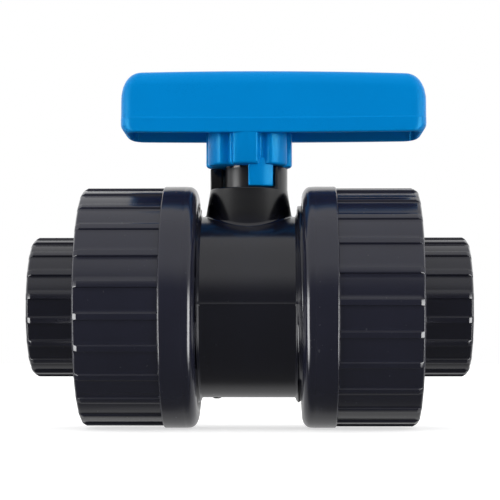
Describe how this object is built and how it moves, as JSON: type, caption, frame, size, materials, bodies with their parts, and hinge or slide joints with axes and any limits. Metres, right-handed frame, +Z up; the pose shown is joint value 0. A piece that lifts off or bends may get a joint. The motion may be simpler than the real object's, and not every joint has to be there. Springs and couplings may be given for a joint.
{
  "type": "ball valve",
  "caption": "Double-union plastic ball valve with a T handle, ribbed union nuts and plain pipe sockets, shown open.",
  "frame": {"origin": "the ball's centre, where the pipe line crosses the stem's axis", "axes": "+X along the pipe line, +Z up the stem to the handle, -Y towards the front"},
  "size_m": [0.1309, 0.073, 0.1069],
  "materials": {
    "anthracite_pvc": "dark grey moulded PVC-U, satin to semi-gloss, smooth, fine mould lines",
    "blue_handle": "bright blue moulded plastic, satin gloss, faint moulding texture",
    "ptfe_seat": "white turned PTFE, waxy",
    "seal_rubber": "black EPDM rubber, matt"
  },
  "bodies": {
    "body": {"valve_body": "anthracite_pvc", "seat_carrier": "anthracite_pvc", "carrier_o_ring": "seal_rubber", "ball_seat_left": "ptfe_seat", "ball_seat_right": "ptfe_seat", "seat_o_ring_left": "seal_rubber", "seat_o_ring_right": "seal_rubber"},
    "ball": {"ball": "anthracite_pvc"},
    "stem": {"stem": "anthracite_pvc", "stem_o_ring_lower": "seal_rubber", "stem_o_ring_upper": "seal_rubber"},
    "handle": {"handle": "blue_handle"},
    "connector_left": {"end_connector_left": "anthracite_pvc", "face_o_ring_left": "seal_rubber"},
    "nut_left": {"union_nut_left": "anthracite_pvc"},
    "connector_right": {"end_connector_right": "anthracite_pvc", "face_o_ring_right": "seal_rubber"},
    "nut_right": {"union_nut_right": "anthracite_pvc"}
  },
  "joints": [
    {"name": "stem_turn", "type": "hinge", "parent": "body", "child": "stem", "pos_m": [0, 0, 0.03], "axis": [0, 0, -1], "range_deg": [0, 90]},
    {"name": "ball_turn", "type": "hinge", "parent": "body", "child": "ball", "pos_m": [0, 0, 0], "axis": [0, 0, -1], "range_deg": [0, 90]},
    {"name": "handle_lift", "type": "slide", "parent": "stem", "child": "handle", "axis": [0, 0, 1], "range_m": [0, 0.016]},
    {"name": "union_left_open", "type": "slide", "parent": "body", "child": "connector_left", "axis": [-1, 0, 0], "range_m": [0, 0.0251]},
    {"name": "nut_left_turn", "type": "hinge", "parent": "connector_left", "child": "nut_left", "pos_m": [-0.03, 0, 0], "axis": [-1, 0, 0], "range_deg": [0, 1800]},
    {"name": "union_right_open", "type": "slide", "parent": "body", "child": "connector_right", "axis": [1, 0, 0], "range_m": [-0.00091, 0.0242]},
    {"name": "nut_right_turn", "type": "hinge", "parent": "connector_right", "child": "nut_right", "pos_m": [0.03, 0, 0], "axis": [1, 0, 0], "range_deg": [-64.8, 1735.2]}
  ],
  "couplings": [
    {"joint": "ball_turn", "follows": "stem_turn", "ratio": 1},
    {"joint": "union_left_open", "follows": "nut_left_turn", "m_per_rad": 0.00079577},
    {"joint": "union_right_open", "follows": "nut_right_turn", "m_per_rad": 0.00079577}
  ]
}
